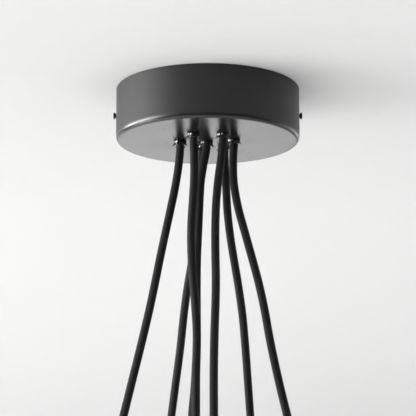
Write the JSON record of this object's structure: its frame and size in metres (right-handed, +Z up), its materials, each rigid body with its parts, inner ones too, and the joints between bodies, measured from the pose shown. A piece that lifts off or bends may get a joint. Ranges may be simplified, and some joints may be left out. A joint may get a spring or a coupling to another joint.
{
  "type": "cluster pendant light",
  "caption": "Ceiling pendant cluster: round black canopy cup on a bracket, black braided cords leaving it through moulded grips, each with a capped lamp holder, open clear glass globe and bulb.",
  "frame": {"origin": "middle of the bracket's back face, which lies against the ceiling", "axes": "+Z up into the ceiling, -Y towards the viewer, X along the bracket strap between the side screws"},
  "size_m": [0.3125, 0.3423, 0.6289],
  "materials": {
    "black_paint": "satin black powder coat",
    "zinc": "bright zinc plate",
    "black_screw": "black screw",
    "nylon": "glossy moulded nylon",
    "braid": "braided textile sleeve",
    "holder_plastic": "black thermoplastic",
    "white_plastic": "terminal block nylon",
    "brass": "plain",
    "lead": "core insulation",
    "glass": "clear blown glass",
    "opal": "opal bulb"
  },
  "bodies": {
    "canopy": {"ceiling_bracket": "zinc", "canopy_cover": "black_paint", "terminal_block": "white_plastic", "terminal_block_screw": "zinc", "earth_screw": "brass", "lead_bundle": "lead", "cord_grip_A": "nylon", "cord_grip_B": "nylon", "cord_grip_C": "nylon", "cord_grip_D": "nylon", "cord_grip_E": "nylon", "cord_grip_F": "nylon", "cord_grip_G": "nylon"},
    "screw_left": {"side_screw_left": "black_screw"},
    "screw_right": {"side_screw_right": "black_screw"},
    "pendant_A": {"cord_A": "braid", "lamp_cap_A": "black_paint", "lamp_holder_A": "holder_plastic", "glass_globe_A": "glass", "shade_ring_A": "black_paint"},
    "pendant_B": {"cord_B": "braid", "lamp_cap_B": "black_paint", "lamp_holder_B": "holder_plastic", "glass_globe_B": "glass", "shade_ring_B": "black_paint"},
    "pendant_C": {"cord_C": "braid", "lamp_cap_C": "black_paint", "lamp_holder_C": "holder_plastic", "glass_globe_C": "glass", "shade_ring_C": "black_paint"},
    "pendant_D": {"cord_D": "braid", "lamp_cap_D": "black_paint", "lamp_holder_D": "holder_plastic", "glass_globe_D": "glass", "shade_ring_D": "black_paint"},
    "pendant_E": {"cord_E": "braid", "lamp_cap_E": "black_paint", "lamp_holder_E": "holder_plastic", "glass_globe_E": "glass", "shade_ring_E": "black_paint"},
    "pendant_F": {"cord_F": "braid", "lamp_cap_F": "black_paint", "lamp_holder_F": "holder_plastic", "glass_globe_F": "glass", "shade_ring_F": "black_paint"},
    "pendant_G": {"cord_G": "braid", "lamp_cap_G": "black_paint", "lamp_holder_G": "holder_plastic", "glass_globe_G": "glass", "shade_ring_G": "black_paint"},
    "lamp_A": {"bulb_A": "opal"},
    "lamp_B": {"bulb_B": "opal"},
    "lamp_C": {"bulb_C": "opal"},
    "lamp_D": {"bulb_D": "opal"},
    "lamp_E": {"bulb_E": "opal"},
    "lamp_F": {"bulb_F": "opal"},
    "lamp_G": {"bulb_G": "opal"}
  },
  "joints": [
    {"name": "swing_A", "type": "hinge", "parent": "canopy", "child": "pendant_A", "pos_m": [-0.027, -0.0025, -0.057], "axis": [0.031, 0.9995, 0], "range_deg": [0, 15], "deforming": ["cord_A"]},
    {"name": "swing_B", "type": "hinge", "parent": "canopy", "child": "pendant_B", "pos_m": [-0.006, 0.017, -0.057], "axis": [0.9102, 0.4141, 0], "range_deg": [0, 15], "deforming": ["cord_B"]},
    {"name": "swing_C", "type": "hinge", "parent": "canopy", "child": "pendant_C", "pos_m": [-0.0012, 0.0003, -0.057], "axis": [0.9798, 0.2, 0], "range_deg": [0, 3], "deforming": ["cord_C"]},
    {"name": "swing_D", "type": "hinge", "parent": "canopy", "child": "pendant_D", "pos_m": [-0.0138, -0.031, -0.057], "axis": [-0.3102, 0.9507, 0], "range_deg": [0, 8], "deforming": ["cord_D"]},
    {"name": "swing_E", "type": "hinge", "parent": "canopy", "child": "pendant_E", "pos_m": [0.0147, -0.0295, -0.057], "axis": [-0.9951, 0.099, 0], "range_deg": [0, 15], "deforming": ["cord_E"]},
    {"name": "swing_F", "type": "hinge", "parent": "canopy", "child": "pendant_F", "pos_m": [0.0162, 0.014, -0.057], "axis": [0.9133, -0.4072, 0], "range_deg": [0, 15], "deforming": ["cord_F"]},
    {"name": "swing_G", "type": "hinge", "parent": "canopy", "child": "pendant_G", "pos_m": [0.0254, -0.008, -0.057], "axis": [0.102, -0.9948, 0], "range_deg": [0, 15], "deforming": ["cord_G"]},
    {"name": "screw_left_out", "type": "slide", "parent": "canopy", "child": "screw_left", "axis": [-1, 0, 0], "range_m": [0, 0.01]},
    {"name": "screw_right_out", "type": "slide", "parent": "canopy", "child": "screw_right", "axis": [1, 0, 0], "range_m": [0, 0.01]},
    {"name": "bulb_turn_A", "type": "hinge", "parent": "pendant_A", "child": "lamp_A", "pos_m": [-0.1083, 0, -0.441], "axis": [-0.2305, 0, -0.9731], "continuous": true},
    {"name": "bulb_turn_B", "type": "hinge", "parent": "pendant_B", "child": "lamp_B", "pos_m": [-0.05277, 0.11973, -0.43835], "axis": [-0.1245, 0.2988, -0.9462], "continuous": true},
    {"name": "bulb_turn_C", "type": "hinge", "parent": "pendant_C", "child": "lamp_C", "pos_m": [-0.01018, 0.01528, -0.50143], "axis": [0.0351, 0.0135, -0.9993], "continuous": true},
    {"name": "bulb_turn_D", "type": "hinge", "parent": "pendant_D", "child": "lamp_D", "pos_m": [-0.00788, -0.07049, -0.58639], "axis": [0.0119, -0.0476, -0.9988], "continuous": true},
    {"name": "bulb_turn_E", "type": "hinge", "parent": "pendant_E", "child": "lamp_E", "pos_m": [0.0055, -0.12209, -0.43842], "axis": [0, -0.3237, -0.9462], "continuous": true},
    {"name": "bulb_turn_F", "type": "hinge", "parent": "pendant_F", "child": "lamp_F", "pos_m": [0.05174, 0.09371, -0.44069], "axis": [0.0766, 0.2298, -0.9702], "continuous": true},
    {"name": "bulb_turn_G", "type": "hinge", "parent": "pendant_G", "child": "lamp_G", "pos_m": [0.1038, 0, -0.441], "axis": [0.2305, 0, -0.9731], "continuous": true}
  ]
}
